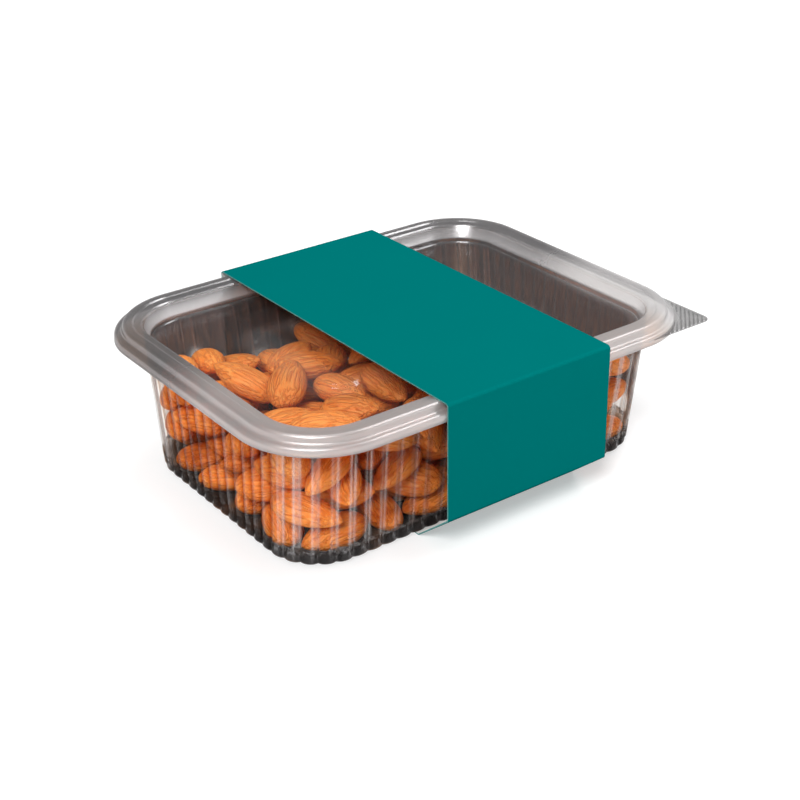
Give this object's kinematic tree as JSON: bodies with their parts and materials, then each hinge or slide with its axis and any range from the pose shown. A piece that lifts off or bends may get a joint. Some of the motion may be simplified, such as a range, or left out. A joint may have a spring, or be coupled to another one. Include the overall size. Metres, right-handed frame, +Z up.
{
  "type": "clamshell pack of almonds",
  "caption": "Clear hinged plastic clamshell with reeded walls, filled with almonds and held shut by a card sleeve that slides off along its length.",
  "frame": {"origin": "on the sleeve's bottom face, under the middle of the pack's rim", "axes": "+X along the pack's long side, +Y towards the hinge at the back, +Z up out of the tray"},
  "size_m": [0.162, 0.1266, 0.0513],
  "materials": {
    "clear_sheet": "clear thermoformed PET sheet, glossy",
    "card": "teal printed card with a smooth matt coat",
    "almond": "dry wrinkled brown skin"
  },
  "bodies": {
    "pack": {"clamshell": "clear_sheet", "almonds": "almond"},
    "sleeve": {"sleeve": "card"}
  },
  "joints": [
    {"name": "sleeve_slide", "type": "slide", "parent": "pack", "child": "sleeve", "axis": [1, 0, 0], "range_m": [-0.118, 0.111]}
  ]
}
